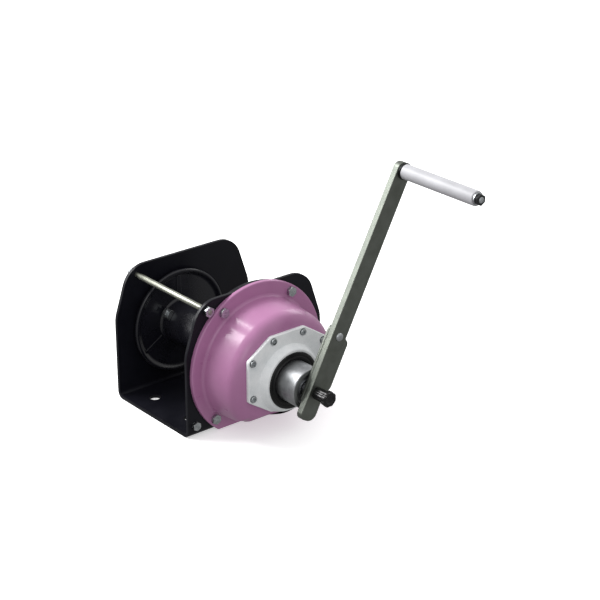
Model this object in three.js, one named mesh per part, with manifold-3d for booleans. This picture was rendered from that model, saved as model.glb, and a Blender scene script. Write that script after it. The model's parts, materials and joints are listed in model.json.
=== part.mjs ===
// Hand-cranked drum winch: a bent U-shaped frame, a rope drum between its uprights, an enclosed
// two-stage spur gear train with a load brake on the right, and a long crank with a turning grip.
// Millimetres. +X runs along the drum towards the crank, -Y is the front, +Z is up. The origin is
// the centre of the base's underside.
import * as THREE from "three";
import { mergeVertices } from "three/addons/utils/BufferGeometryUtils.js";
import Module from "manifold-3d";

const wasm = await Module();
wasm.setup();

// ---------------------------------------------------------------- driving dimensions
const GAP = 0.3; // between fixed pieces, one inside the other
const RUN = 0.12; // radial running clearance of a turning shaft
const BITE = 1; // how far joined bodies of one piece reach into each other

// frame
const FRAME_LENGTH = 204;
const FRAME_WIDTH = 281;
const FRAME_HEIGHT = 235;
const PLATE = 6;
const BEND_INSIDE = 6.5;
const SHOULDER_HEIGHT = 148;
const TOP_WIDTH = 223;
const TOP_CORNER_R = 45;
const SHOULDER_R = 60;
const BASE_HOLE_R = 10;
const BASE_HOLE_X = 50;
const BASE_HOLE_Y = 100;
const TIE_ROD_R = 5;
const TIE_ROD = [-97, 218];
const CORNER_BOLT_R = 4;
const CORNER_BOLTS = { front: [-126, 21], rear: [126, 21] };
const WINDOW = [12, 108]; // round opening of the right upright
const WINDOW_R = 76;

// left bearing housing
const HOUSING_R = 42;
const HOUSING_T = 6;
const HOUSING_BOSS_R = 27;
const HOUSING_BOSS_T = 16;
const HOUSING_SPIGOT_R = 26;
const HOUSING_BOLT_R = 4;
const HOUSING_BOLT_PCD_R = 34;

// drum
const DRUM_Y = -18;
const DRUM_Z = 116;
const BARREL_R = 38;
const BARREL_WALL = 5;
const FLANGE_R = 93;
const FLANGE_T = 4;
const FLANGE_BEAD_R = 4.5;
const FLANGE_CLEARANCE = 6; // between a drum flange and what stands beside it
const DRUM_SHAFT_R = 15;
const BUSH_WALL = 4;

// crank axis and gear train
const CRANK_Z = 101.5;
const MODULE_1 = 2.5;
const TEETH_INPUT = 13;
const TEETH_INTERMEDIATE = 31;
const MODULE_2 = 3;
const TEETH_COUNTER = 12;
const TEETH_DRUM = 37;
const GEAR_1_WIDTH = 14;
const GEAR_2_WIDTH = 20;
const PRESSURE_ANGLE = THREE.MathUtils.degToRad(20);
const BACKLASH = 0.35;
const COUNTER_R = 11;
const JOURNAL_R = 9.5;
const INPUT_R = 12;

// gear case
const BEARING_PLATE = 8;
const CASE_FLANGE_R = 135;
const CASE_FLANGE_Z = 108;
const CASE_FLANGE_T = 7;
const CASE_Z = 103;
const CASE_BASE_R = 113;
const CASE_FRONT_R = 107;
const CASE_DEPTH = 81;
const CASE_EDGE_R = 20;
const BULKHEAD_DEPTH = 66; // the wall inside the case, between the gears and the brake
const CASE_WALL = 6;
const CASE_BOTTOM_Z = 33;
const FOOT_Z = 2;
const CASE_BOLT_R = 5;
const CASE_BOLT_POCKET_R = 12;
const CASE_BOLTS = [[-91, 25], [91, 25], [70, 210], [-70, 210]];
const BEARING_R = 22;

// brake and its cover
const COVER_HALF_WIDTH = 82;
const COVER_HALF_HEIGHT = 67;
const COVER_Z = 117;
const COVER_CUT_Y = 47;
const COVER_CUT_Z = 31;
const COVER_DEPTH = 6;
const COVER_SCREW_R = 3;
const COVER_SCREW_HEAD_R = 5.5;
const COVER_SCREW_INSET = 9;
const COVER_SCREW_REACH = 13; // into the case
const CHAMBER_INSET = 15; // the brake chamber, in from the cover's edge
const NOSE_DEPTH = 12;
const SEAL_R = 49;
const SEAL_WIDTH = 9;
const BOSS_R = 35;
const BOSS_END = 244;
const RATCHET_TEETH = 12;
const RATCHET_R = 42;
const RATCHET_ROOT_R = 36;
const RATCHET_FACE_DEGREES = 85;
const PAWL_PIN_R = 5;
const DISC_R = 34;

// crank
const CRANK_RADIUS = 380;
const CRANK_TILT = THREE.MathUtils.degToRad(28);
const ARM_WIDTH = 32;
const ARM_T = 12;
const ARM_TAIL = 48;
const ARM_HEAD = 14;
const GUIDE_T = 5;
const GUIDE_LIP = 9;
const SQUARE = 17;
const GRIP_R = 12.5;
const GRIP_LENGTH = 160;
const SPINDLE_R = 6;
const RIVET_AT = 97; // from the crank axis, along the arm
const RIVET_R = 4;
const KNOB_R = 13.5;
const KNOB_COLLAR_R = 10.5;
const KNOB_LENGTH = 32;
const KNOB_HEAD_T = 9;
const SCALLOP_R = 3;
const KNOB_SCALLOPS = 8;

// ---------------------------------------------------------------- places worked out from them
const UPRIGHT_IN = FRAME_LENGTH / 2 - PLATE;
const UPRIGHT_OUT = FRAME_LENGTH / 2;
const DRUM = [DRUM_Y, DRUM_Z];
const CRANK = [0, CRANK_Z];
const PITCH_INPUT = (MODULE_1 * TEETH_INPUT) / 2;
const PITCH_INTERMEDIATE = (MODULE_1 * TEETH_INTERMEDIATE) / 2;
const PITCH_COUNTER = (MODULE_2 * TEETH_COUNTER) / 2;
const PITCH_DRUM = (MODULE_2 * TEETH_DRUM) / 2;
const COUNTER = countershaftPlace();
const PLATE_IN = UPRIGHT_IN - BEARING_PLATE;
const FLANGE_LEFT = -UPRIGHT_IN + FLANGE_CLEARANCE;
const FLANGE_RIGHT = PLATE_IN - FLANGE_CLEARANCE;
const GEAR_2_START = UPRIGHT_OUT + 6;
const DIVIDER_START = GEAR_2_START + GEAR_2_WIDTH + 4;
const DIVIDER_T = 6;
const GEAR_1_START = DIVIDER_START + DIVIDER_T + 4;
const CASE_FRONT = UPRIGHT_OUT + CASE_DEPTH;
const BULKHEAD = UPRIGHT_OUT + BULKHEAD_DEPTH;
const CASE_CAVITY_R = CASE_FRONT_R - CASE_WALL;
const CAVITY_BOTTOM_Z = CASE_BOTTOM_Z + CASE_WALL;
const COVER_FRONT = CASE_FRONT + COVER_DEPTH;
const NOSE_FRONT = COVER_FRONT + NOSE_DEPTH;
const NOSE_R = SEAL_R + 11;
const PAWL_PIN = [-36, CRANK_Z + 50];
const HUB_START = BULKHEAD + 1;
const HUB_T = 4;
const LINING_T = 2.5;
const RATCHET_T = 6;
const RATCHET_START = HUB_START + HUB_T + LINING_T;
const BOSS_START = RATCHET_START + RATCHET_T + LINING_T;
const SLEEVE_R = 18;
const GUIDE_START = BOSS_END + 1;
const ARM_START = GUIDE_START + GUIDE_T;
const ARM_FRONT = ARM_START + ARM_T;
const ARM_DIRECTION = [Math.sin(CRANK_TILT), Math.cos(CRANK_TILT)];
const GRIP = alongArm(CRANK_RADIUS, 0);
const GRIP_START = ARM_FRONT + 3;
const GRIP_END = GRIP_START + GRIP_LENGTH;

// The countershaft stands at the gears' centre distances from the crank and the drum, to the rear.
function countershaftPlace() {
  const toCrank = PITCH_INPUT + PITCH_INTERMEDIATE;
  const toDrum = PITCH_COUNTER + PITCH_DRUM;
  const dy = DRUM_Y - CRANK[0];
  const dz = DRUM_Z - CRANK_Z;
  const between = Math.hypot(dy, dz);
  const cosine = (between ** 2 + toCrank ** 2 - toDrum ** 2) / (2 * between * toCrank);
  const angle = Math.atan2(dz, dy) - Math.acos(THREE.MathUtils.clamp(cosine, -1, 1));
  return [CRANK[0] + toCrank * Math.cos(angle), CRANK_Z + toCrank * Math.sin(angle)];
}

// A point of the crank arm: s from the crank axis towards the grip, w across towards +Y.
function alongArm(s, w) {
  const [sine, cosine] = ARM_DIRECTION;
  return [CRANK[0] + s * sine + w * cosine, CRANK_Z + s * cosine - w * sine];
}

// ---------------------------------------------------------------- solids
function solid(geometry) {
  const bare = geometry.index ? geometry.toNonIndexed() : geometry.clone();
  bare.deleteAttribute("normal");
  bare.deleteAttribute("uv");
  const merged = mergeVertices(bare, 1e-4);
  const corners = merged.index.array;
  const faces = [];
  for (let i = 0; i < corners.length; i += 3) {
    const [a, b, c] = [corners[i], corners[i + 1], corners[i + 2]];
    if (a !== b && b !== c && c !== a) faces.push(a, b, c);
  }
  const vertProperties = new Float32Array(merged.attributes.position.array);
  const made = (triVerts) =>
    new wasm.Manifold(new wasm.Mesh({ numProp: 3, vertProperties, triVerts: new Uint32Array(triVerts) }));
  const first = made(faces);
  if (first.volume() >= 0) return first;
  const turned = [];
  for (let i = 0; i < faces.length; i += 3) turned.push(faces[i], faces[i + 2], faces[i + 1]);
  return made(turned);
}

// A body of revolution about an axis along X through [y, z]; the profile's points are [x, radius].
function turned(profile, [y, z] = [0, 0], segments = 24) {
  const points = profile.map(([x, radius]) => new THREE.Vector2(radius, x));
  const geometry = new THREE.LatheGeometry(points, segments);
  geometry.rotateZ(-Math.PI / 2);
  geometry.translate(0, y, z);
  return solid(geometry);
}

const rod = (x0, x1, radius, place, segments) =>
  turned([[x0, 0], [x0, radius], [x1, radius], [x1, 0]], place, segments);

const ring = (x0, x1, inner, outer, place, segments) =>
  turned([[x0, inner], [x0, outer], [x1, outer], [x1, inner], [x0, inner]], place, segments);

// A shape in the YZ plane with thickness from x0 to x1.
function slab(shape, x0, x1, curveSegments = 5) {
  const geometry = new THREE.ExtrudeGeometry(shape, { depth: x1 - x0, bevelEnabled: false, curveSegments });
  geometry.applyMatrix4(new THREE.Matrix4().set(0, 0, 1, x0, 1, 0, 0, 0, 0, 1, 0, 0, 0, 0, 0, 1));
  return solid(geometry);
}

function block([x0, y0, z0], [x1, y1, z1]) {
  const geometry = new THREE.BoxGeometry(x1 - x0, y1 - y0, z1 - z0);
  geometry.translate((x0 + x1) / 2, (y0 + y1) / 2, (z0 + z1) / 2);
  return solid(geometry);
}

// A polygon whose corners [a, b, radius] are rounded where they have a radius.
function polygon(corners) {
  const shape = new THREE.Shape();
  corners.forEach(([a, b, radius = 0], i) => {
    const corner = new THREE.Vector2(a, b);
    const toBefore = new THREE.Vector2(...corners.at(i - 1)).sub(corner).normalize();
    const toAfter = new THREE.Vector2(...corners[(i + 1) % corners.length]).sub(corner).normalize();
    const half = Math.acos(THREE.MathUtils.clamp(toBefore.dot(toAfter), -1, 1)) / 2;
    const tangent = radius / Math.tan(half);
    const start = corner.clone().addScaledVector(toBefore, tangent);
    if (i === 0) shape.moveTo(start.x, start.y);
    else shape.lineTo(start.x, start.y);
    if (!radius) return;
    const bisector = toBefore.clone().add(toAfter).normalize();
    const centre = bisector.multiplyScalar(radius / Math.sin(half)).add(corner);
    const end = corner.clone().addScaledVector(toAfter, tangent);
    const from = Math.atan2(start.y - centre.y, start.x - centre.x);
    const to = Math.atan2(end.y - centre.y, end.x - centre.x);
    shape.absarc(centre.x, centre.y, radius, from, to, toBefore.cross(toAfter) > 0);
  });
  shape.closePath();
  return shape;
}

// A hexagon bolt whose head sits on the face x = seat; way is +1 when the head is on the +X side.
function hexBolt(seat, way, place, shankR, shankLength, headR, headT) {
  const head = rod(Math.min(seat, seat + way * headT), Math.max(seat, seat + way * headT), headR, place, 6);
  const inner = seat + way * BITE;
  const outer = seat - way * shankLength;
  return head.add(rod(Math.min(inner, outer), Math.max(inner, outer), shankR, place, 10));
}

// ---------------------------------------------------------------- meshes
const PAINT = {
  black: { color: 0x17171c, roughness: 0.35, metalness: 0.1 },
  mauve: { color: 0xb078a4, roughness: 0.3, metalness: 0.1 },
  cast: { color: 0xc4c8cc, roughness: 0.5, metalness: 0.7 },
  steel: { color: 0xa9aaa6, roughness: 0.35, metalness: 0.9 },
  zinc: { color: 0x8f948c, roughness: 0.4, metalness: 0.8 },
  dark: { color: 0x202022, roughness: 0.6, metalness: 0.3 },
  rubber: { color: 0x101012, roughness: 0.7, metalness: 0 },
  bronze: { color: 0xa9793c, roughness: 0.4, metalness: 0.9 },
  lining: { color: 0x6a5038, roughness: 0.9, metalness: 0 },
  grip: { color: 0xe6e6e4, roughness: 0.45, metalness: 0 },
};
const winch = new THREE.Group();

function add(name, made, paint) {
  const { vertProperties, triVerts } = made.getMesh();
  const geometry = new THREE.BufferGeometry();
  geometry.setAttribute("position", new THREE.BufferAttribute(vertProperties, 3));
  geometry.setIndex(new THREE.BufferAttribute(triVerts, 1));
  geometry.computeVertexNormals();
  const mesh = new THREE.Mesh(geometry, new THREE.MeshStandardMaterial(PAINT[paint]));
  mesh.name = name;
  winch.add(mesh);
}

// ---------------------------------------------------------------- frame
function housingBoltPlaces() {
  return [90, 210, 330].map((degrees) => {
    const angle = THREE.MathUtils.degToRad(degrees);
    return [DRUM_Y + HOUSING_BOLT_PCD_R * Math.cos(angle), DRUM_Z + HOUSING_BOLT_PCD_R * Math.sin(angle)];
  });
}

function buildFrame() {
  const bendOutside = BEND_INSIDE + PLATE;
  const outer = [
    [-UPRIGHT_OUT, 0, bendOutside],
    [UPRIGHT_OUT, 0, bendOutside],
    [UPRIGHT_OUT, FRAME_HEIGHT],
  ];
  const inner = [
    [UPRIGHT_IN, FRAME_HEIGHT],
    [UPRIGHT_IN, PLATE, BEND_INSIDE],
    [-UPRIGHT_IN, PLATE, BEND_INSIDE],
  ];
  const section = polygon([...outer, ...inner, [-UPRIGHT_IN, FRAME_HEIGHT], [-UPRIGHT_OUT, FRAME_HEIGHT]]);
  const extrusion = { depth: FRAME_WIDTH, bevelEnabled: false, curveSegments: 4 };
  const geometry = new THREE.ExtrudeGeometry(section, extrusion);
  geometry.rotateX(Math.PI / 2);
  geometry.translate(0, FRAME_WIDTH / 2, 0);
  const half = FRAME_WIDTH / 2;
  const top = TOP_WIDTH / 2;
  const side = polygon([
    [-half, -1],
    [half, -1],
    [half, SHOULDER_HEIGHT, SHOULDER_R],
    [top, FRAME_HEIGHT, TOP_CORNER_R],
    [-top, FRAME_HEIGHT, TOP_CORNER_R],
    [-half, SHOULDER_HEIGHT, SHOULDER_R],
  ]);
  let frame = solid(geometry).intersect(slab(side, -UPRIGHT_OUT - 1, UPRIGHT_OUT + 1));
  for (const x of [-BASE_HOLE_X, BASE_HOLE_X]) {
    for (const y of [-BASE_HOLE_Y, BASE_HOLE_Y]) {
      const hole = new THREE.CylinderGeometry(BASE_HOLE_R, BASE_HOLE_R, 3 * PLATE, 16);
      hole.rotateX(Math.PI / 2);
      hole.translate(x, y, 0);
      frame = frame.subtract(solid(hole));
    }
  }
  const throughLeft = (place, radius, segments) =>
    rod(-UPRIGHT_OUT - 1, -UPRIGHT_IN + 1, radius, place, segments);
  const throughRight = (place, radius, segments) =>
    rod(UPRIGHT_IN - 1, UPRIGHT_OUT + 1, radius, place, segments);
  frame = frame.subtract(throughLeft(DRUM, HOUSING_SPIGOT_R + GAP, 24));
  for (const place of housingBoltPlaces()) {
    frame = frame.subtract(throughLeft(place, HOUSING_BOLT_R + GAP, 10));
  }
  frame = frame.subtract(throughLeft(TIE_ROD, TIE_ROD_R - 1 + GAP, 12));
  frame = frame.subtract(throughRight(TIE_ROD, TIE_ROD_R - 1 + GAP, 12));
  frame = frame.subtract(throughRight(WINDOW, WINDOW_R + GAP, 32));
  for (const place of CASE_BOLTS) frame = frame.subtract(throughRight(place, CASE_BOLT_R + GAP, 10));
  for (const place of Object.values(CORNER_BOLTS)) {
    frame = frame.subtract(throughRight(place, CORNER_BOLT_R + GAP, 10));
  }
  add("u_frame", frame, "black");
}

function buildTieRod() {
  const nutT = 8;
  const nutR = 9.2;
  const stud = TIE_ROD_R - 1;
  const past = UPRIGHT_OUT + nutT + 1;
  const profile = [[-past, 0], [-past, stud], [-UPRIGHT_IN, stud], [-UPRIGHT_IN, TIE_ROD_R]];
  const mirrored = profile.map(([x, radius]) => [-x, radius]).reverse();
  add("tie_rod", turned([...profile, ...mirrored], TIE_ROD, 12), "zinc");
  for (const [side, way] of [["left", -1], ["right", 1]]) {
    const faces = [way * UPRIGHT_OUT, way * (UPRIGHT_OUT + nutT)].sort((a, b) => a - b);
    const bore = rod(faces[0] - 1, faces[1] + 1, stud + GAP, TIE_ROD, 12);
    const nut = rod(...faces, nutR, TIE_ROD, 6).subtract(bore);
    add(`tie_rod_nut_${side}`, nut, "zinc");
  }
}

function buildCornerBolts() {
  const headR = 8;
  const headT = 6;
  const nutT = 7;
  for (const [end, place] of Object.entries(CORNER_BOLTS)) {
    const bolt = hexBolt(UPRIGHT_OUT, 1, place, CORNER_BOLT_R, PLATE + nutT + 1, headR, headT);
    add(`corner_bolt_${end}`, bolt, "zinc");
    const nut = rod(UPRIGHT_IN - nutT, UPRIGHT_IN, headR, place, 6);
    const bore = rod(UPRIGHT_IN - nutT - 1, UPRIGHT_IN + 1, CORNER_BOLT_R + GAP, place, 10);
    add(`corner_nut_${end}`, nut.subtract(bore), "zinc");
  }
}

// ---------------------------------------------------------------- left bearing
function buildLeftBearing() {
  const spigot = PLATE + 2;
  const bore = DRUM_SHAFT_R + RUN + BUSH_WALL + GAP;
  const x = -UPRIGHT_OUT;
  const profile = [
    [x - HOUSING_BOSS_T, bore],
    [x - HOUSING_BOSS_T, HOUSING_BOSS_R],
    [x - HOUSING_T, HOUSING_BOSS_R],
    [x - HOUSING_T, HOUSING_R],
    [x, HOUSING_R],
    [x, HOUSING_SPIGOT_R],
    [x + spigot, HOUSING_SPIGOT_R],
    [x + spigot, bore],
    [x - HOUSING_BOSS_T, bore],
  ];
  let housing = turned(profile, DRUM, 24);
  housingBoltPlaces().forEach((place, i) => {
    housing = housing.subtract(rod(x - HOUSING_T - 1, x + 1, HOUSING_BOLT_R + GAP, place, 10));
    const bolt = hexBolt(x - HOUSING_T, -1, place, HOUSING_BOLT_R, HOUSING_T + PLATE + 3, 7, 5);
    add(`housing_bolt_${i + 1}`, bolt, "zinc");
  });
  add("left_bearing_housing", housing, "cast");
  const bushInside = DRUM_SHAFT_R + RUN;
  const bush = ring(x - HOUSING_BOSS_T, x + spigot, bushInside, bushInside + BUSH_WALL, DRUM, 32);
  add("left_bearing_bush", bush, "bronze");
  return x - HOUSING_BOSS_T;
}

// ---------------------------------------------------------------- drum
function buildDrum(shaftEnd) {
  const bore = DRUM_SHAFT_R + GAP;
  const barrelIn = FLANGE_LEFT + FLANGE_T;
  const barrelOut = FLANGE_RIGHT - FLANGE_T;
  add("drum_barrel", ring(barrelIn, barrelOut, BARREL_R - BARREL_WALL, BARREL_R, DRUM, 32), "black");
  const sides = [["left", FLANGE_LEFT, 1], ["right", FLANGE_RIGHT, -1]];
  for (const [side, x, way] of sides) {
    const inward = (depth) => x + way * depth;
    const rim = FLANGE_R;
    const bead = rim - 2 * FLANGE_BEAD_R;
    const profile = [
      [inward(0), bore],
      [inward(0), rim],
      [inward(FLANGE_T + 4), rim],
      [inward(FLANGE_T + 4), bead + 2],
      [inward(FLANGE_T), bead],
      [inward(FLANGE_T), BARREL_R - BARREL_WALL - GAP],
      [inward(FLANGE_T + 8), BARREL_R - BARREL_WALL - GAP],
      [inward(FLANGE_T + 8), bore],
      [inward(0), bore],
    ];
    add(`drum_flange_${side}`, turned(profile, DRUM, 32), "black");
  }
  const grooveAt = shaftEnd - 3;
  const left = grooveAt - 4;
  const right = GEAR_2_START + GEAR_2_WIDTH + 1;
  const groove = DRUM_SHAFT_R - 1.5;
  const profile = [
    [left, 0],
    [left, DRUM_SHAFT_R - 1],
    [left + 1, DRUM_SHAFT_R],
    [grooveAt, DRUM_SHAFT_R],
    [grooveAt, groove],
    [grooveAt + 2, groove],
    [grooveAt + 2, DRUM_SHAFT_R],
    [right, DRUM_SHAFT_R],
    [right, 0],
  ];
  add("drum_shaft", turned(profile, DRUM, 32), "steel");
  const clip = ring(grooveAt + GAP, grooveAt + 2 - GAP, groove + GAP, DRUM_SHAFT_R + 4, DRUM, 24);
  add("drum_shaft_circlip", clip, "dark");
}

// A small saddle on the barrel beside the left flange, which clamps the rope's end.
function buildRopeClamp() {
  const angle = THREE.MathUtils.degToRad(144);
  const at = (radius) => [DRUM_Y + radius * Math.cos(angle), DRUM_Z + radius * Math.sin(angle)];
  const length = 16;
  const start = FLANGE_LEFT + FLANGE_T + 5;
  const halfWidth = 9;
  const across = [-Math.sin(angle), Math.cos(angle)];
  const corner = (radius, w) => {
    const [y, z] = at(radius);
    return [y + w * across[0], z + w * across[1]];
  };
  const foot = BARREL_R + GAP;
  const top = foot + 8;
  const outline = [corner(foot, -halfWidth), corner(foot, halfWidth), corner(top, halfWidth - 2)];
  const saddle = slab(polygon([...outline, corner(top, 2 - halfWidth)]), start, start + length);
  const screwR = 3;
  const radial = (r0, r1, radius, segments) => {
    const geometry = new THREE.CylinderGeometry(radius, radius, r1 - r0, segments);
    geometry.translate(0, (r0 + r1) / 2, 0);
    geometry.rotateX(angle);
    geometry.translate(start + length / 2, DRUM_Y, DRUM_Z);
    return solid(geometry);
  };
  add("rope_clamp", saddle.subtract(radial(foot - 2, top + 2, screwR + GAP, 12)), "zinc");
  const screwHead = radial(top, top + 4, 5.5, 12);
  add("rope_clamp_screw", radial(foot + 0.5, top + 0.5, screwR, 12).add(screwHead), "steel");
}

// ---------------------------------------------------------------- gears
function gearShape(module, teeth, phase, bore) {
  const pitch = (module * teeth) / 2;
  const base = pitch * Math.cos(PRESSURE_ANGLE);
  const tip = pitch + 0.8 * module;
  const root = pitch - 1.1 * module;
  const involute = (radius) => {
    const angle = radius > base ? Math.acos(base / radius) : 0;
    return Math.tan(angle) - angle;
  };
  const halfAtPitch = Math.PI / (2 * teeth) - BACKLASH / (2 * pitch) + involute(pitch);
  const flank = [root, pitch, tip];
  const points = [];
  for (let tooth = 0; tooth < teeth; tooth++) {
    const centre = phase + (2 * Math.PI * tooth) / teeth;
    const side = (radius, sign) => {
      const angle = centre + sign * (halfAtPitch - involute(radius));
      return new THREE.Vector2(radius * Math.cos(angle), radius * Math.sin(angle));
    };
    points.push(...flank.map((radius) => side(radius, -1)));
    points.push(...flank.toReversed().map((radius) => side(radius, 1)));
  }
  const shape = new THREE.Shape(points);
  if (bore) shape.holes.push(new THREE.Path().absarc(0, 0, bore, 0, 2 * Math.PI, true));
  return shape;
}

function gear(module, teeth, phase, bore, x0, width, [y, z]) {
  const geometry = new THREE.ExtrudeGeometry(gearShape(module, teeth, phase, bore), {
    depth: width,
    bevelEnabled: false,
    curveSegments: 12,
  });
  geometry.applyMatrix4(new THREE.Matrix4().set(0, 0, 1, x0, 1, 0, 0, y, 0, 1, 0, z, 0, 0, 0, 1));
  return solid(geometry);
}

function buildGears() {
  const toward = ([ay, az], [by, bz]) => Math.atan2(bz - az, by - ay);
  const halfPitch = (teeth) => Math.PI / teeth;
  const inputPhase = toward(CRANK, COUNTER);
  const intermediatePhase = toward(COUNTER, CRANK) + halfPitch(TEETH_INTERMEDIATE);
  const counterPhase = toward(COUNTER, DRUM);
  const drumPhase = toward(DRUM, COUNTER) + halfPitch(TEETH_DRUM);
  const gear1End = GEAR_1_START + GEAR_1_WIDTH;
  const gear2End = GEAR_2_START + GEAR_2_WIDTH;
  const drumGearBore = DRUM_SHAFT_R + GAP;
  const drumGear = gear(MODULE_2, TEETH_DRUM, drumPhase, drumGearBore, GEAR_2_START, GEAR_2_WIDTH, DRUM);
  add("drum_gear", drumGear, "steel");
  const intermediate = [MODULE_1, TEETH_INTERMEDIATE, intermediatePhase, COUNTER_R + GAP];
  add("intermediate_gear", gear(...intermediate, GEAR_1_START, GEAR_1_WIDTH, COUNTER), "steel");

  const counterProfile = [
    [PLATE_IN + 2, 0],
    [PLATE_IN + 2, JOURNAL_R],
    [GEAR_2_START - 1, JOURNAL_R],
    [GEAR_2_START - 1, COUNTER_R],
    [gear1End + 1, COUNTER_R],
    [gear1End + 1, JOURNAL_R],
    [BULKHEAD - 2.5, JOURNAL_R],
    [BULKHEAD - 2.5, 0],
  ];
  const counterWidth = gear2End - GEAR_2_START;
  const counterTeeth = gear(MODULE_2, TEETH_COUNTER, counterPhase, 0, GEAR_2_START, counterWidth, COUNTER);
  add("countershaft", turned(counterProfile, COUNTER, 32).add(counterTeeth), "steel");

  const screwBore = 5 + GAP;
  const inputProfile = [
    [DIVIDER_START - 1, 0],
    [DIVIDER_START - 1, JOURNAL_R],
    [GEAR_1_START - 1, JOURNAL_R],
    [GEAR_1_START - 1, INPUT_R],
    [BOSS_END, INPUT_R],
    [BOSS_END, screwBore],
    [BOSS_END - 4, screwBore],
    [BOSS_END - 4, 0],
  ];
  const square = slab(polygon(squareCorners(SQUARE / 2)), BOSS_END - BITE, ARM_FRONT - 1);
  const inputTeeth = gear(MODULE_1, TEETH_INPUT, inputPhase, 0, GEAR_1_START, GEAR_1_WIDTH, CRANK);
  const shaft = turned(inputProfile, CRANK, 32).add(inputTeeth).add(square);
  add("input_shaft", shaft.subtract(rod(BOSS_END - 4, ARM_FRONT, screwBore, CRANK, 16)), "steel");
}

// The corners of the square drive, turned with the arm.
function squareCorners(half) {
  return [[-half, -half], [-half, half], [half, half], [half, -half]].map(([s, w]) => alongArm(s, w));
}

// ---------------------------------------------------------------- gear case
const roundCut = (radius, centreZ, bottomZ) => {
  const half = Math.sqrt(radius ** 2 - (centreZ - bottomZ) ** 2);
  const shape = new THREE.Shape();
  const start = Math.atan2(bottomZ - centreZ, half);
  shape.absarc(0, centreZ, radius, start, Math.PI - start, false);
  shape.closePath();
  return shape;
};

function coverCorners(inset) {
  const y = COVER_HALF_WIDTH - inset;
  const z = COVER_HALF_HEIGHT - inset;
  const cutY = COVER_CUT_Y - 0.5 * inset;
  const cutZ = COVER_CUT_Z - 0.5 * inset;
  const quarter = [[y, z - cutZ], [y - cutY, z]];
  const top = [...quarter, ...quarter.toReversed().map(([a, b]) => [-a, b])];
  return [...top, ...top.toReversed().map(([a, b]) => [a, -b])].map(([a, b]) => [a, COVER_Z + b]);
}

// The upper six corners: the nose takes the room of the lowest two.
const coverScrewPlaces = () => {
  const corners = coverCorners(COVER_SCREW_INSET);
  return [...corners.slice(0, 5), corners.at(-1)];
};

function buildGearCase() {
  const x = UPRIGHT_OUT;
  const flange = slab(roundCut(CASE_FLANGE_R, CASE_FLANGE_Z, FOOT_Z), x, x + CASE_FLANGE_T, 28);
  const fillet = 5;
  const profile = [
    [x + BITE, 0],
    [x + BITE, CASE_BASE_R + fillet],
    [x + CASE_FLANGE_T, CASE_BASE_R + fillet],
  ];
  profile.push([x + CASE_FLANGE_T + 0.4 * fillet, CASE_BASE_R + 0.3 * fillet]);
  profile.push([x + CASE_FLANGE_T + fillet, CASE_BASE_R]);
  for (let step = 0; step <= 4; step++) {
    const angle = (step * Math.PI) / 8;
    const radius = CASE_FRONT_R - CASE_EDGE_R * (1 - Math.cos(angle));
    profile.push([CASE_FRONT - CASE_EDGE_R * (1 - Math.sin(angle)), radius]);
  }
  profile.push([CASE_FRONT, 0]);
  const below = 400;
  const keep = block([x, -below, CASE_BOTTOM_Z], [CASE_FRONT + 1, below, below]);
  let body = turned(profile, [0, CASE_Z], 40).intersect(keep);
  for (const [y, z] of CASE_BOLTS) {
    body = body.subtract(rod(x + CASE_FLANGE_T, CASE_FRONT + 1, CASE_BOLT_POCKET_R, [y, z], 16));
  }
  const wall = BULKHEAD - CASE_WALL;
  let gearCase = flange.add(body).add(slab(polygon(coverCorners(0)), BULKHEAD, CASE_FRONT));
  gearCase = gearCase.subtract(slab(roundCut(CASE_CAVITY_R, CASE_Z, CAVITY_BOTTOM_Z), x - 1, wall, 24));
  gearCase = gearCase.subtract(slab(polygon(coverCorners(CHAMBER_INSET)), BULKHEAD, CASE_FRONT + 1));
  gearCase = gearCase.subtract(rod(BULKHEAD, CASE_FRONT + 1, RATCHET_R + 4, CRANK, 32));
  for (const place of CASE_BOLTS) {
    gearCase = gearCase.subtract(rod(x - 1, x + CASE_FLANGE_T + 1, CASE_BOLT_R + GAP, place, 10));
  }
  for (const place of coverScrewPlaces()) {
    const hole = rod(CASE_FRONT - COVER_SCREW_REACH - 1, CASE_FRONT + 1, COVER_SCREW_R + GAP, place, 8);
    gearCase = gearCase.subtract(hole);
  }
  gearCase = gearCase.subtract(rod(wall - 1, BULKHEAD + 1, BEARING_R + GAP, CRANK, 32));
  gearCase = gearCase.subtract(rod(wall - 1, BULKHEAD - 2, JOURNAL_R + RUN, COUNTER, 32));
  gearCase = gearCase.subtract(rod(wall - 1, BULKHEAD + 1, PAWL_PIN_R + GAP, PAWL_PIN, 12));
  add("gear_case", gearCase, "mauve");
  CASE_BOLTS.forEach((place, i) => {
    const length = CASE_FLANGE_T + PLATE + BEARING_PLATE - 1;
    add(`gear_case_bolt_${i + 1}`, hexBolt(x + CASE_FLANGE_T, 1, place, CASE_BOLT_R, length, 9, 6), "zinc");
  });
}

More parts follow.
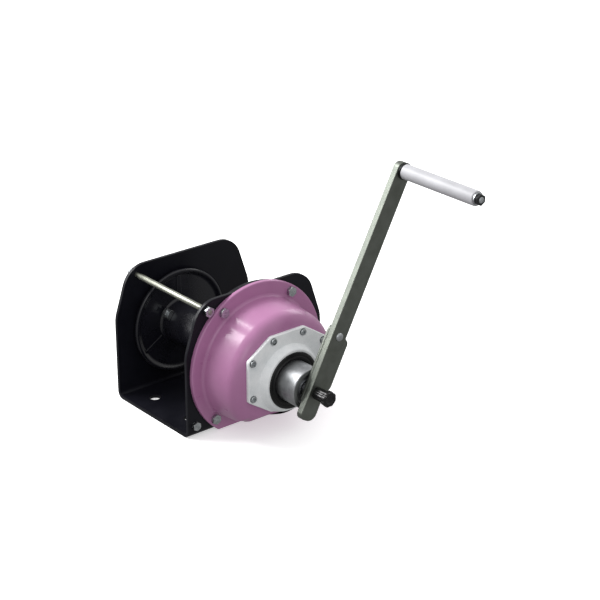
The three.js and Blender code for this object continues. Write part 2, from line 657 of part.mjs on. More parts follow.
function buildBearingPlates() {
  const x = UPRIGHT_IN;
  const bossFront = UPRIGHT_OUT + 3;
  const disc = slab(roundCut(CASE_FLANGE_R - 4, CASE_FLANGE_Z, PLATE + BEND_INSIDE + 2), PLATE_IN, x, 24);
  let plate = disc.add(rod(x - BITE, UPRIGHT_OUT, WINDOW_R, WINDOW, 32));
  plate = plate.add(rod(UPRIGHT_OUT - BITE, bossFront, 26, DRUM, 24));
  plate = plate.add(rod(UPRIGHT_OUT - BITE, bossFront, 16, COUNTER, 24));
  const bushR = DRUM_SHAFT_R + RUN + BUSH_WALL;
  plate = plate.subtract(rod(PLATE_IN - 1, bossFront + 1, bushR + GAP, DRUM, 32));
  plate = plate.subtract(rod(PLATE_IN + 1.5, bossFront + 1, JOURNAL_R + RUN, COUNTER, 32));
  for (const place of CASE_BOLTS) {
    plate = plate.subtract(rod(PLATE_IN - 1, x + 1, CASE_BOLT_R + GAP, place, 10));
  }
  add("bearing_plate", plate, "dark");
  add("right_bearing_bush", ring(PLATE_IN, bossFront, DRUM_SHAFT_R + RUN, bushR, DRUM, 32), "bronze");

  const outline = roundCut(CASE_CAVITY_R - GAP, CASE_Z, CAVITY_BOTTOM_Z + GAP);
  let divider = slab(outline, DIVIDER_START, DIVIDER_START + DIVIDER_T, 24);
  const dividerEnd = DIVIDER_START + DIVIDER_T;
  divider = divider.subtract(rod(DIVIDER_START - 1, dividerEnd + 1, JOURNAL_R + RUN, CRANK, 32));
  divider = divider.subtract(rod(DIVIDER_START - 1, dividerEnd + 1, COUNTER_R + RUN, COUNTER, 32));
  add("divider_plate", divider, "cast");

  const bearing = ring(BULKHEAD - CASE_WALL - 2, BULKHEAD, INPUT_R + RUN, BEARING_R, CRANK, 32);
  add("input_bearing", bearing, "steel");
}

// ---------------------------------------------------------------- brake
function buildBrakeCover() {
  const bevel = 2;
  const front = COVER_FRONT;
  let cover = slab(polygon(coverCorners(0)), CASE_FRONT, front - bevel);
  cover = cover.add(slab(polygon(coverCorners(bevel)), front - bevel - BITE, front));
  const noseProfile = [
    [CASE_FRONT + BITE, 0],
    [CASE_FRONT + BITE, NOSE_R],
    [front, NOSE_R],
    [NOSE_FRONT - 2, SEAL_R + 5],
    [NOSE_FRONT, SEAL_R + 3],
    [NOSE_FRONT, 0],
  ];
  const prism = slab(polygon(coverCorners(0)), CASE_FRONT, NOSE_FRONT + 1);
  cover = cover.add(turned(noseProfile, CRANK, 36).intersect(prism));
  cover = cover.subtract(rod(CASE_FRONT - 1, NOSE_FRONT + 1, RATCHET_R + 2, CRANK, 32));
  cover = cover.subtract(rod(NOSE_FRONT - SEAL_WIDTH + 1, NOSE_FRONT + 1, SEAL_R + GAP, CRANK, 36));
  cover = cover.subtract(rod(CASE_FRONT - 1, front - 3, PAWL_PIN_R + GAP, PAWL_PIN, 12));
  const seat = front - 2;
  coverScrewPlaces().forEach((place, i) => {
    cover = cover.subtract(rod(CASE_FRONT - 1, front + 1, COVER_SCREW_R + GAP, place, 8));
    cover = cover.subtract(rod(seat, front + 1, COVER_SCREW_HEAD_R + GAP, place, 12));
    const screw = rod(seat, seat + 5, COVER_SCREW_HEAD_R, place, 12);
    const shank = rod(CASE_FRONT - COVER_SCREW_REACH, seat + BITE, COVER_SCREW_R, place, 8);
    add(`cover_screw_${i + 1}`, screw.add(shank), "steel");
  });
  add("brake_cover", cover, "cast");
  const lip = 2;
  const sealStart = NOSE_FRONT - SEAL_WIDTH + 1;
  const sealProfile = [
    [sealStart, BOSS_R + RUN + 3],
    [sealStart, SEAL_R],
    [NOSE_FRONT + lip - 1, SEAL_R],
    [NOSE_FRONT + lip, SEAL_R - 1.5],
    [NOSE_FRONT + lip, BOSS_R + RUN + 5],
    [NOSE_FRONT - 1, BOSS_R + RUN],
    [NOSE_FRONT - 3, BOSS_R + RUN],
    [sealStart, BOSS_R + RUN + 3],
  ];
  add("shaft_seal", turned(sealProfile, CRANK, 36), "rubber");
}

function ratchetShape(bore) {
  const shape = new THREE.Shape();
  const point = (radius, degrees) => {
    const angle = THREE.MathUtils.degToRad(degrees);
    return [radius * Math.cos(angle), radius * Math.sin(angle)];
  };
  const pitch = 360 / RATCHET_TEETH;
  const first = RATCHET_FACE_DEGREES;
  shape.moveTo(...point(RATCHET_ROOT_R, first));
  for (let tooth = 0; tooth < RATCHET_TEETH; tooth++) {
    const from = first + tooth * pitch;
    shape.lineTo(...point(RATCHET_R, from + pitch - 2));
    shape.lineTo(...point(RATCHET_R, from + pitch));
    if (tooth < RATCHET_TEETH - 1) shape.lineTo(...point(RATCHET_ROOT_R, from + pitch));
  }
  shape.closePath();
  shape.holes.push(new THREE.Path().absarc(0, 0, bore, 0, 2 * Math.PI, true));
  return shape;
}

function buildBrake() {
  const sleeveEnd = BOSS_START;
  const hubProfile = [
    [HUB_START, INPUT_R + GAP],
    [HUB_START, DISC_R + 2],
    [HUB_START + HUB_T, DISC_R + 2],
    [HUB_START + HUB_T, SLEEVE_R],
    [sleeveEnd, SLEEVE_R],
    [sleeveEnd, INPUT_R + GAP],
    [HUB_START, INPUT_R + GAP],
  ];
  add("brake_hub", turned(hubProfile, CRANK, 32), "steel");
  const liningStart = HUB_START + HUB_T;
  const lining = (start) => ring(start, start + LINING_T, SLEEVE_R + GAP, DISC_R, CRANK, 32);
  add("friction_disc_inner", lining(liningStart), "lining");
  const outerStart = RATCHET_START + RATCHET_T;
  add("friction_disc_outer", lining(outerStart), "lining");
  const geometry = new THREE.ExtrudeGeometry(ratchetShape(SLEEVE_R + RUN), {
    depth: RATCHET_T,
    bevelEnabled: false,
    curveSegments: 16,
  });
  const place = [0, 0, 1, RATCHET_START, 1, 0, 0, CRANK[0], 0, 1, 0, CRANK[1], 0, 0, 0, 1];
  geometry.applyMatrix4(new THREE.Matrix4().set(...place));
  add("ratchet_wheel", solid(geometry), "steel");
  buildPawl();
  const recess = 6;
  const bossProfile = [
    [BOSS_START, INPUT_R + GAP],
    [BOSS_START, DISC_R + 4],
    [BOSS_START + 3, DISC_R + 4],
    [BOSS_START + 3, BOSS_R],
    [BOSS_END - 1, BOSS_R],
    [BOSS_END, BOSS_R - 1],
    [BOSS_END, BOSS_R - 8],
    [BOSS_END - recess, BOSS_R - 9],
    [BOSS_END - recess, INPUT_R + GAP],
    [BOSS_START, INPUT_R + GAP],
  ];
  add("handle_boss", turned(bossProfile, CRANK, 36), "steel");
  const clip = BOSS_END - recess + 0.2;
  add("boss_retaining_ring", ring(clip, clip + 2, INPUT_R + GAP, INPUT_R + 7, CRANK, 32), "dark");
}

function buildPawl() {
  const polar = (radius, degrees) => {
    const angle = THREE.MathUtils.degToRad(degrees);
    return [CRANK[0] + radius * Math.cos(angle), CRANK_Z + radius * Math.sin(angle)];
  };
  const tip = RATCHET_FACE_DEGREES + 1.5;
  const hubR = 9;
  const [pinY, pinZ] = PAWL_PIN;
  const nose = [polar(RATCHET_ROOT_R + 0.8, tip), polar(RATCHET_R + 2.5, tip)];
  const back = [[pinY + 2, pinZ + hubR - 0.5], [pinY - 3, pinZ - hubR + 1]];
  const underside = [polar(RATCHET_R + 2.5, tip + 28), polar(RATCHET_R, tip + 11)];
  const outline = polygon([...nose, ...back, ...underside]);
  const start = RATCHET_START + 0.5;
  const end = RATCHET_START + RATCHET_T - 0.5;
  const lever = slab(outline, start, end).add(rod(start, end, hubR, PAWL_PIN, 16));
  add("pawl", lever.subtract(rod(start - 1, end + 1, PAWL_PIN_R + RUN, PAWL_PIN, 16)), "steel");
  add("pawl_pin", rod(BULKHEAD - CASE_WALL + 1, COVER_FRONT - 3.5, PAWL_PIN_R, PAWL_PIN, 16), "steel");
  const wire = 1.5;
  const coilStart = BULKHEAD + 0.5;
  const turns = 2;
  const profile = [[coilStart, PAWL_PIN_R + GAP]];
  for (let turn = 0; turn < turns; turn++) {
    const x = coilStart + turn * wire;
    profile.push([x, PAWL_PIN_R + GAP + wire * 0.8]);
    profile.push([x + wire / 2, PAWL_PIN_R + GAP + wire * 1.3]);
    profile.push([x + wire, PAWL_PIN_R + GAP + wire * 0.8]);
  }
  profile.push([coilStart + turns * wire, PAWL_PIN_R + GAP]);
  profile.push(profile[0]);
  add("pawl_spring", turned(withoutRepeats(profile), PAWL_PIN, 16), "zinc");
}

const withoutRepeats = (points) =>
  points.filter(([x, radius], i) => i === 0 || x !== points[i - 1][0] || radius !== points[i - 1][1]);

// ---------------------------------------------------------------- crank
function armOutline(corners) {
  return polygon(corners.map(([s, w, radius]) => [...alongArm(s, w), radius]));
}

function buildCrank() {
  const half = ARM_WIDTH / 2;
  const head = CRANK_RADIUS + ARM_HEAD;
  const outline = [[-ARM_TAIL, -half, 10], [-ARM_TAIL, half, 14], [head, half, 13], [head, -half, 13]];
  const hole = polygon(squareCorners(SQUARE / 2 + GAP));
  const rivet = alongArm(RIVET_AT, 0);
  let arm = slab(armOutline(outline), ARM_START, ARM_FRONT);
  arm = arm.subtract(slab(hole, ARM_START - 1, ARM_FRONT + 1));
  arm = arm.subtract(rod(ARM_START - 1, ARM_FRONT + 1, RIVET_R + GAP, rivet, 16));
  arm = arm.subtract(rod(ARM_START - 1, ARM_FRONT + 1, SPINDLE_R + GAP, GRIP, 24));
  add("crank_arm", arm, "zinc");

  const inside = half + GAP;
  const outside = inside + GUIDE_LIP;
  const guideTop = RIVET_AT + 14;
  const lipTop = RIVET_AT - 6;
  const plate = armOutline([
    [-24, -half, 8],
    [14, outside],
    [lipTop, outside, 4],
    [guideTop, half, 6],
    [guideTop, -half, 8],
  ]);
  const lip = armOutline([[14, outside], [lipTop, outside, 4], [lipTop + 6, inside], [-4, inside]]);
  let guide = slab(plate, GUIDE_START, ARM_START).add(slab(lip, GUIDE_START, ARM_FRONT - 1));
  guide = guide.subtract(slab(hole, GUIDE_START - 1, ARM_START + 1));
  guide = guide.subtract(rod(GUIDE_START - 1, ARM_START + 1, RIVET_R + GAP, rivet, 16));
  add("arm_guide_plate", guide, "zinc");
  const rivetProfile = [
    [GUIDE_START - 2.5, 0],
    [GUIDE_START - 2.5, RIVET_R + 1],
    [GUIDE_START, RIVET_R + 3],
    [GUIDE_START, RIVET_R],
    [ARM_FRONT, RIVET_R],
    [ARM_FRONT, RIVET_R + 3.5],
    [ARM_FRONT + 2, RIVET_R + 2.5],
    [ARM_FRONT + 3, RIVET_R],
    [ARM_FRONT + 3, 0],
  ];
  add("arm_rivet", turned(rivetProfile, rivet, 20), "steel");
}

function buildKnob() {
  const headEnd = ARM_FRONT + KNOB_LENGTH;
  const headStart = headEnd - KNOB_HEAD_T;
  const profile = [
    [BOSS_END - 1, 0],
    [BOSS_END - 1, 5],
    [ARM_FRONT, 5],
    [ARM_FRONT, KNOB_COLLAR_R],
    [headStart - 2, KNOB_COLLAR_R],
    [headStart - 1, KNOB_COLLAR_R - 2],
    [headStart, KNOB_COLLAR_R - 2],
    [headStart, KNOB_R],
    [headEnd - 2, KNOB_R],
    [headEnd, KNOB_R - 2.5],
    [headEnd, 0],
  ];
  let knob = turned(profile, CRANK, 24);
  const scallopAt = KNOB_R + 1.6;
  for (let i = 0; i < KNOB_SCALLOPS; i++) {
    const angle = (2 * Math.PI * (i + 0.5)) / KNOB_SCALLOPS;
    const place = [CRANK[0] + scallopAt * Math.cos(angle), CRANK_Z + scallopAt * Math.sin(angle)];
    knob = knob.subtract(rod(headStart - 1, headEnd + 1, SCALLOP_R, place, 8));
  }
  add("knob_bolt", knob, "dark");
}

function buildGrip() {
  const nutT = 8;
  const nutStart = GRIP_END + 1;
  const spindleProfile = [
    [ARM_START - 3, 0],
    [ARM_START - 3, SPINDLE_R + 2],
    [ARM_START, SPINDLE_R + 3],
    [ARM_START, SPINDLE_R],
    [nutStart, SPINDLE_R],
    [nutStart, SPINDLE_R - 1],
    [nutStart + nutT + 1, SPINDLE_R - 1],
    [nutStart + nutT + 1, 0],
  ];
  add("grip_spindle", turned(spindleProfile, GRIP, 24), "steel");
  add("grip_washer", ring(ARM_FRONT, GRIP_START - 0.5, SPINDLE_R + GAP, GRIP_R + 1.5, GRIP, 24), "dark");
  const sleeve = [
    [GRIP_START, SPINDLE_R + RUN],
    [GRIP_START, GRIP_R - 1],
    [GRIP_START + 1, GRIP_R],
    [GRIP_END - 1.5, GRIP_R],
    [GRIP_END, GRIP_R - 1.5],
    [GRIP_END, SPINDLE_R + RUN],
    [GRIP_START, SPINDLE_R + RUN],
  ];
  add("grip_sleeve", turned(sleeve, GRIP, 24), "grip");
  const nut = rod(nutStart, nutStart + nutT, 10, GRIP, 6).add(rod(nutStart, nutStart + 2, 10.5, GRIP, 24));
  const bore = rod(nutStart - 1, nutStart + nutT + 1, SPINDLE_R - 1 + GAP, GRIP, 16);
  add("grip_nut", nut.subtract(bore), "dark");
}

buildFrame();
buildTieRod();
buildCornerBolts();
const shaftEnd = buildLeftBearing();
buildDrum(shaftEnd);
buildRopeClamp();
buildGears();
buildGearCase();
buildBearingPlates();
buildBrakeCover();
buildBrake();
buildCrank();
buildKnob();
buildGrip();

export default winch;
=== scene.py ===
"""Enclosed-gear drum hand winch. Metres: +X runs to the crank, -Y is the front, +Z is up."""

import json
import math

import bmesh
import bpy
from mathutils import Matrix, Vector


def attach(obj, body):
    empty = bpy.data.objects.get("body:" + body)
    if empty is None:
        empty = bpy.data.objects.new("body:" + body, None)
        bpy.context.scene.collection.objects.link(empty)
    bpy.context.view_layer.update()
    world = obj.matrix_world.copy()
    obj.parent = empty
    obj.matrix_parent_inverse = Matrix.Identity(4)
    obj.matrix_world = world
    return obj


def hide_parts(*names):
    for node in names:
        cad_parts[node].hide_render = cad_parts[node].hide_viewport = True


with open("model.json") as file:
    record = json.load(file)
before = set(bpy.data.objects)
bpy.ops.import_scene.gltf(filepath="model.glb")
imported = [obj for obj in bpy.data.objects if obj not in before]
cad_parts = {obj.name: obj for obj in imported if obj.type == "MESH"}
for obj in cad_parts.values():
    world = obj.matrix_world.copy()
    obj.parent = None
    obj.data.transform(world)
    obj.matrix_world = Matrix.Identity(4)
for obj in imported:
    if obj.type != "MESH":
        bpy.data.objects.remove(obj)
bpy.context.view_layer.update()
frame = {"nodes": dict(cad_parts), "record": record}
NODES = frame["nodes"]
BODY_OF = {node: body for body, members in frame["record"]["behaviour"]["bodies"].items() for node in members}

MM = 0.001
BROAD_FACE = 4000e-6  # square metres: a face this large is shaded flat
ALONG_X = 0.99999  # a normal this near the X direction

# ------------------------------------------------------------------ places, in millimetres
DRUM = (-18, 116)  # y and z of the drum's axis
CRANK = (0, 101.5)
COUNTER = (54.816, 105.996)
TILT = math.radians(28)  # the crank arm leans to the rear by this much
GRIP = (380 * math.sin(TILT), 101.5 + 380 * math.cos(TILT))
TIE_ROD = (-97, 218)
PAWL_PIN = (-36, 151.5)
CASE_CENTRE = (0, 103)
CASE_BOLTS = ((-91, 25), (91, 25), (70, 210), (-70, 210))


def along_arm(s, w):
    """The y and z of a point of the crank arm: s from its axis to the grip, w across it."""
    return (
        CRANK[0] + s * math.sin(TILT) + w * math.cos(TILT),
        CRANK[1] + s * math.cos(TILT) - w * math.sin(TILT),
    )


# ------------------------------------------------------------------ materials
def linear(code):
    """An sRGB hex colour as the linear RGBA that a shader takes."""
    parts = [int(code[i : i + 2], 16) / 255 for i in (1, 3, 5)]
    return [p / 12.92 if p <= 0.04045 else ((p + 0.055) / 1.055) ** 2.4 for p in parts] + [1]


def add_node(tree, kind, settings=None, **inputs):
    """A node with its properties set, and each input given a value or linked to another node's output."""
    node = tree.nodes.new(kind)
    for key, value in (settings or {}).items():
        setattr(node, key, value)
    for key, value in inputs.items():
        socket = node.inputs[int(key[1:])] if key[1:].isdigit() else node.inputs[key.replace("_", " ")]
        if isinstance(value, bpy.types.NodeSocket):
            tree.links.new(value, socket)
        else:
            socket.default_value = value
    return node


def new_material(name, **constants):
    """A material with its shader's unvarying sockets set, and its object coordinates in millimetres."""
    made = bpy.data.materials.new(name)
    made.use_nodes = True
    tree = made.node_tree
    shader = tree.nodes["Principled BSDF"]
    for key, value in constants.items():
        shader.inputs[key.replace("_", " ")].default_value = value
    place = add_node(tree, "ShaderNodeTexCoord")
    in_mm = add_node(tree, "ShaderNodeVectorMath", {"operation": "SCALE"}, i0=place.outputs["Object"], Scale=1000.0)
    return made, tree, shader, in_mm.outputs[0]


def noise(tree, vector, size, detail=3.0, rough=0.5):
    """Noise whose lumps are about this many millimetres across."""
    return add_node(
        tree, "ShaderNodeTexNoise", None, Vector=vector, Scale=1 / size, Detail=detail, Roughness=rough
    ).outputs["Fac"]


def spread(tree, value, low, high, start=0.3, end=0.7):
    """The value's range from start to end, taken to low to high."""
    return add_node(
        tree,
        "ShaderNodeMapRange",
        None,
        Value=value,
        From_Min=start,
        From_Max=end,
        To_Min=low,
        To_Max=high,
    ).outputs["Result"]


def tint(tree, factor, first, second):
    """From the first colour to the second as the factor goes from 0 to 1."""
    return add_node(
        tree, "ShaderNodeMix", {"data_type": "RGBA"}, i0=factor, i6=linear(first), i7=linear(second)
    ).outputs[2]


def bump(tree, shader, height, depth_mm, strength=1.0):
    """Relief whose full height is this many millimetres."""
    relief = add_node(
        tree, "ShaderNodeBump", None, Height=height, Strength=strength, Distance=depth_mm * MM
    )
    tree.links.new(relief.outputs["Normal"], shader.inputs["Normal"])


def enamel(name, deep, light, roughness, coat, gloss):
    """Sprayed stove enamel on steel or cast iron: a glossy coat with orange peel about 3 mm across,
    and a little dust that dulls it in patches."""
    made, tree, shader, at = new_material(
        name, Coat_Weight=coat, Coat_Roughness=0.14, IOR=1.5, Specular_IOR_Level=gloss
    )
    patches = noise(tree, at, 38, 4)
    grain = noise(tree, at, 1.6, 2)
    mixed = add_node(tree, "ShaderNodeMath", {"operation": "MULTIPLY_ADD"}, i0=grain, i1=0.3, i2=patches)
    tree.links.new(tint(tree, spread(tree, mixed.outputs[0], 0, 1, 0.4, 0.9), deep, light), shader.inputs["Base Color"])
    tree.links.new(spread(tree, patches, roughness - 0.05, roughness + 0.09), shader.inputs["Roughness"])
    bump(tree, shader, noise(tree, at, 3.0, 1), 0.05, 0.5)
    return made


def from_axis(tree, at, axis):
    """How far a point is from an axis along X, in millimetres, and its X."""
    centred = add_node(tree, "ShaderNodeVectorMath", {"operation": "SUBTRACT"}, i0=at, i1=(0, *axis))
    flat = add_node(tree, "ShaderNodeVectorMath", {"operation": "MULTIPLY"}, i0=centred.outputs[0], i1=(0, 1, 1))
    radius = add_node(tree, "ShaderNodeVectorMath", {"operation": "LENGTH"}, i0=flat.outputs[0]).outputs["Value"]
    along = add_node(tree, "ShaderNodeSeparateXYZ", None, Vector=centred.outputs[0]).outputs["X"]
    return radius, along


def turned_steel(name, axis, deep, light, roughness):
    """Steel turned on a lathe: fine grooves round the axis, about 0.8 mm apart so that they show,
    on the sides and on the end faces alike."""
    made, tree, shader, at = new_material(name, Metallic=1.0)
    radius, along = from_axis(tree, at, axis)
    feed = add_node(tree, "ShaderNodeMath", {"operation": "MULTIPLY_ADD"}, i0=radius, i1=1.0, i2=along).outputs[0]
    groove = add_node(
        tree, "ShaderNodeTexNoise", {"noise_dimensions": "1D"}, W=feed, Scale=1.2, Detail=2.0
    ).outputs["Fac"]
    stain = noise(tree, at, 14, 4)
    both = add_node(tree, "ShaderNodeMath", {"operation": "MULTIPLY_ADD"}, i0=groove, i1=0.6, i2=stain).outputs[0]
    tree.links.new(tint(tree, spread(tree, both, 0, 1, 0.5, 1.1), deep, light), shader.inputs["Base Color"])
    tree.links.new(spread(tree, groove, roughness - 0.06, roughness + 0.1), shader.inputs["Roughness"])
    bump(tree, shader, groove, 0.03, 0.6)
    return made


def plated(name, deep, light, roughness, metallic=1.0, cloud=22):
    """Zinc-plated rolled steel: a soft bright metal with cloudy passivation and the faint
    lengthwise scale of the bar under the plating."""
    made, tree, shader, at = new_material(name, Metallic=metallic)
    clouds = noise(tree, at, cloud, 5, 0.6)
    pits = noise(tree, at, 1.1, 2)
    mixed = add_node(tree, "ShaderNodeMath", {"operation": "MULTIPLY_ADD"}, i0=pits, i1=0.35, i2=clouds).outputs[0]
    tree.links.new(tint(tree, spread(tree, mixed, 0, 1, 0.45, 0.95), deep, light), shader.inputs["Base Color"])
    tree.links.new(spread(tree, clouds, roughness - 0.07, roughness + 0.1), shader.inputs["Roughness"])
    bump(tree, shader, pits, 0.04, 0.5)
    return made


def cast_metal(name, deep, light, roughness, metallic):
    """Gravity-cast aluminium, lightly blasted: a pale matt skin with grit marks about 1.2 mm
    across and soft flow marks."""
    made, tree, shader, at = new_material(name, Metallic=metallic)
    flow = noise(tree, at, 26, 4, 0.55)
    grit = noise(tree, at, 1.2, 3, 0.6)
    mixed = add_node(tree, "ShaderNodeMath", {"operation": "MULTIPLY_ADD"}, i0=grit, i1=0.7, i2=flow).outputs[0]
    tree.links.new(tint(tree, spread(tree, mixed, 0, 1, 0.55, 1.15), deep, light), shader.inputs["Base Color"])
    tree.links.new(spread(tree, grit, roughness - 0.08, roughness + 0.1), shader.inputs["Roughness"])
    bump(tree, shader, grit, 0.12, 0.7)
    return made


def moulded(name, deep, light, roughness, grain=0.9, relief=0.03, **constants):
    """Moulded plastic or rubber: an even colour with a fine spark-eroded grain and slight flow."""
    made, tree, shader, at = new_material(name, **constants)
    flow = noise(tree, at, 30, 3)
    fine = noise(tree, at, grain, 2)
    tree.links.new(tint(tree, spread(tree, flow, 0, 1), deep, light), shader.inputs["Base Color"])
    tree.links.new(spread(tree, fine, roughness - 0.05, roughness + 0.07), shader.inputs["Roughness"])
    bump(tree, shader, fine, relief, 0.6)
    return made


BLACK_ENAMEL = enamel("black_enamel", "#0f0f15", "#15151c", 0.36, 0.06, 0.14)
DRUM_ENAMEL = enamel("drum_enamel", "#131319", "#1b1b22", 0.26, 0.15, 0.35)
MAUVE_ENAMEL = enamel("mauve_enamel", "#a66e97", "#ae769f", 0.32, 0.3, 0.4)
CAST_ALUMINIUM = cast_metal("cast_aluminium", "#d8dcde", "#f4f5f6", 0.5, 0.05)
BOSS_STEEL = turned_steel("turned_boss_steel", CRANK, "#808284", "#aeb0b2", 0.42)
DRUM_STEEL = turned_steel("turned_drum_steel", DRUM, "#86868a", "#b4b4b8", 0.34)
GEAR_STEEL = turned_steel("gear_steel", COUNTER, "#7c7c80", "#a8a8ac", 0.38)
ARM_ZINC = plated("zinc_plated_bar", "#62665f", "#727670", 0.38, 0.9)
ROD_ZINC = plated("zinc_plated_rod", "#84867c", "#a2a498", 0.36, 0.8)
BOLT_ZINC = plated("zinc_plated_bolt", "#989c9e", "#c8ccce", 0.26, 1.0, 6)
BLACK_OXIDE = plated("black_oxide_steel", "#2c2d2e", "#48494a", 0.36, 0.9, 8)
BLACK_PLASTIC = moulded(
    "black_plastic", "#0a0a0b", "#101012", 0.24, Coat_Weight=0.12, Coat_Roughness=0.1, Specular_IOR_Level=0.3
)
SEAL_RUBBER = moulded("seal_rubber", "#070708", "#0e0e0f", 0.36, 1.2, 0.05, Specular_IOR_Level=0.35)
WHITE_PLASTIC = moulded("white_plastic", "#b0b0b4", "#bababe", 0.42, 0.9, 0.03)
BRONZE = turned_steel("sintered_bronze", DRUM, "#8a6234", "#b4864c", 0.42)
FRICTION_LINING = moulded("friction_lining", "#4e3a28", "#6e543c", 0.85, 1.4, 0.15)


# ------------------------------------------------------------------ shapes
def sharp_edges(bm, least=28):
    """The edges whose faces meet at more than this many degrees."""
    limit = math.radians(least)
    return [e for e in bm.edges if len(e.link_faces) == 2 and e.calc_face_angle(0) > limit]


def soften(bm, edges, radius, segments=2):
    """Rounds these edges to a radius in millimetres."""
    bmesh.ops.bevel(
        bm,
        geom=edges,
        offset=radius * MM,
        offset_type="OFFSET",
        segments=segments,
        profile=0.5,
        affect="EDGES",
        material=-1,
        clamp_overlap=True,
    )


def tidy(bm):
    bmesh.ops.remove_doubles(bm, verts=bm.verts, dist=0.004 * MM)
    bmesh.ops.recalc_face_normals(bm, faces=bm.faces)


def shade(mesh, crease):
    """Smooth up to the crease angle, but flat on broad faces and on faces that look along X."""
    mesh.shade_smooth()
    mesh.set_sharp_from_angle(angle=math.radians(crease))
    for face in mesh.polygons:
        if face.area > BROAD_FACE or abs(face.normal.x) > ALONG_X:
            face.use_smooth = False


def piece(name, bm, material, node=None, body=None, also=(), crease=28):
    """Makes the mesh an object that rides on its body and stands for a CAD node."""
    mesh = bpy.data.meshes.new(name)
    bm.to_mesh(mesh)
    bm.free()
    mesh.materials.append(material)
    shade(mesh, crease)
    made = bpy.data.objects.new(name, mesh)
    bpy.context.scene.collection.objects.link(made)
    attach(made, body or BODY_OF[node])
    if node:
        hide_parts(node, *also)
    return made


def spun(bm, profile, axis, steps=96, rounds=(), edge=0.0):
    """Adds a body of revolution about an axis along X. The profile's points are (x, radius).
    rounds are (x, radius, size) of the corners with their own rounding, and edge rounds the rest."""
    first = [bm.verts.new((x * MM, axis[0] * MM, (axis[1] + r) * MM)) for x, r in profile]
    loop = [bm.edges.new(pair) for pair in zip(first, first[1:])]
    if profile[0][1] > 0 or profile[-1][1] > 0:
        loop.append(bm.edges.new((first[-1], first[0])))
    bmesh.ops.spin(
        bm,
        geom=first + loop,
        cent=(0, axis[0] * MM, axis[1] * MM),
        axis=(1, 0, 0),
        angle=2 * math.pi,
        steps=steps,
        use_merge=True,
    )
    tidy(bm)

    def ring(x, r):
        def on(v):
            far = math.hypot(v.co.y / MM - axis[0], v.co.z / MM - axis[1])
            return abs(v.co.x / MM - x) < 0.02 and abs(far - r) < 0.02

        return [e for e in bm.edges if on(e.verts[0]) and on(e.verts[1])]

    for x, r, size in rounds:
        soften(bm, ring(x, r), size, 5)
    if edge:
        done = {(round(x, 2), round(r, 2)) for x, r, size in rounds}
        rest = [e for x, r in profile if r > 0.01 and (round(x, 2), round(r, 2)) not in done for e in ring(x, r)]
        soften(bm, [e for e in rest if e.is_valid and e.calc_face_angle(0) > 0.45], edge, 2)
    return bm


def revolve(name, profile, axis, material, node, steps=96, rounds=(), edge=0.4, **more):
    return piece(name, spun(bmesh.new(), profile, axis, steps, rounds, edge), material, node, **more)


def slab(bm, outline, x0, x1, corner=None):
    """Adds a plate with this outline in the YZ plane from x0 to x1. corner rounds its upright corners."""
    verts = [bm.verts.new((x0 * MM, y * MM, z * MM)) for y, z in outline]
    face = bm.faces.new(verts)
    grown = bmesh.ops.extrude_face_region(bm, geom=[face])["geom"]
    moved = [v for v in grown if isinstance(v, bmesh.types.BMVert)]
    bmesh.ops.translate(bm, verts=moved, vec=((x1 - x0) * MM, 0, 0))
    bmesh.ops.recalc_face_normals(bm, faces=bm.faces)
    if corner:
        for pair, radius in zip(zip(verts, moved), corner):
            if radius:
                edges = [e for e in bm.edges if {*e.verts} == {*pair}]
                soften(bm, edges, radius, 8)
    return bm


def copy_of(node, edge=0.5, segments=2, crease=28):
    """A merged copy of a CAD node with its edges rounded."""
    bm = bmesh.new()
    bm.from_mesh(NODES[node].data)
    bmesh.ops.remove_doubles(bm, verts=bm.verts, dist=0.004 * MM)
    bmesh.ops.dissolve_limit(
        bm, angle_limit=math.radians(0.6), verts=bm.verts, edges=bm.edges, use_dissolve_boundaries=False
    )
    if edge:
        soften(bm, sharp_edges(bm, crease), edge, segments)
    return bm


def combine(made, other, operation):
    """Joins another shape to a piece, or cuts it out, then removes the other."""
    mesh = bpy.data.meshes.new("tool")
    other.to_mesh(mesh)
    other.free()
    tool = bpy.data.objects.new("tool", mesh)
    bpy.context.scene.collection.objects.link(tool)
    step = made.modifiers.new(operation, "BOOLEAN")
    step.operation, step.solver, step.object = operation, "EXACT", tool
    bpy.context.view_layer.update()
    result = bpy.data.meshes.new_from_object(made.evaluated_get(bpy.context.evaluated_depsgraph_get()))
    made.modifiers.clear()
    old, made.data = made.data, result
    result.name = made.name
    bpy.data.meshes.remove(old)
    bpy.data.objects.remove(tool)


def join(made, other):
    combine(made, other, "UNION")


def cut(made, cutters, crease=28):
    """Cuts the cutters' shapes out of a piece."""
    for cutter in cutters:
        combine(made, cutter, "DIFFERENCE")
    shade(made.data, crease)
    return made


def peg(axis, radius, x0, x1, steps=48):
    return spun(bmesh.new(), ((x0, 0), (x0, radius), (x1, radius), (x1, 0)), axis, steps)


def copied(node, material, edge=0.5, segments=2, crease=28):
    return piece(f"{node}_soft", copy_of(node, edge, segments, crease), material, node)


# ------------------------------------------------------------------ fasteners
def hexagon(bm, axis, radius, x0, x1, crown=1.1):
    """A hexagon prism along X whose corners at x1 are turned down, as on a bolt head or a nut."""
    corners = [
        (axis[0] + radius * math.sin(math.tau * i / 6), axis[1] + radius * math.cos(math.tau * i / 6))
        for i in range(6)
    ]
    slab(bm, corners, x0, x1)
    tips = [v for v in bm.verts if abs(v.co.x / MM - x1) < 0.01]
    bmesh.ops.bevel(
        bm,
        geom=tips,
        offset=crown * MM,
        offset_type="OFFSET",
        segments=1,
        profile=0.5,
        affect="VERTICES",
        material=-1,
        clamp_overlap=True,
    )
    soften(bm, sharp_edges(bm, 20), 0.22, 2)
    return bm


def joined(*parts):
    """Several bmeshes as one."""
    whole = bmesh.new()
    for part in parts:
        mesh = bpy.data.meshes.new("part")
        part.to_mesh(mesh)
        part.free()
        whole.from_mesh(mesh)
        bpy.data.meshes.remove(mesh)
    return whole


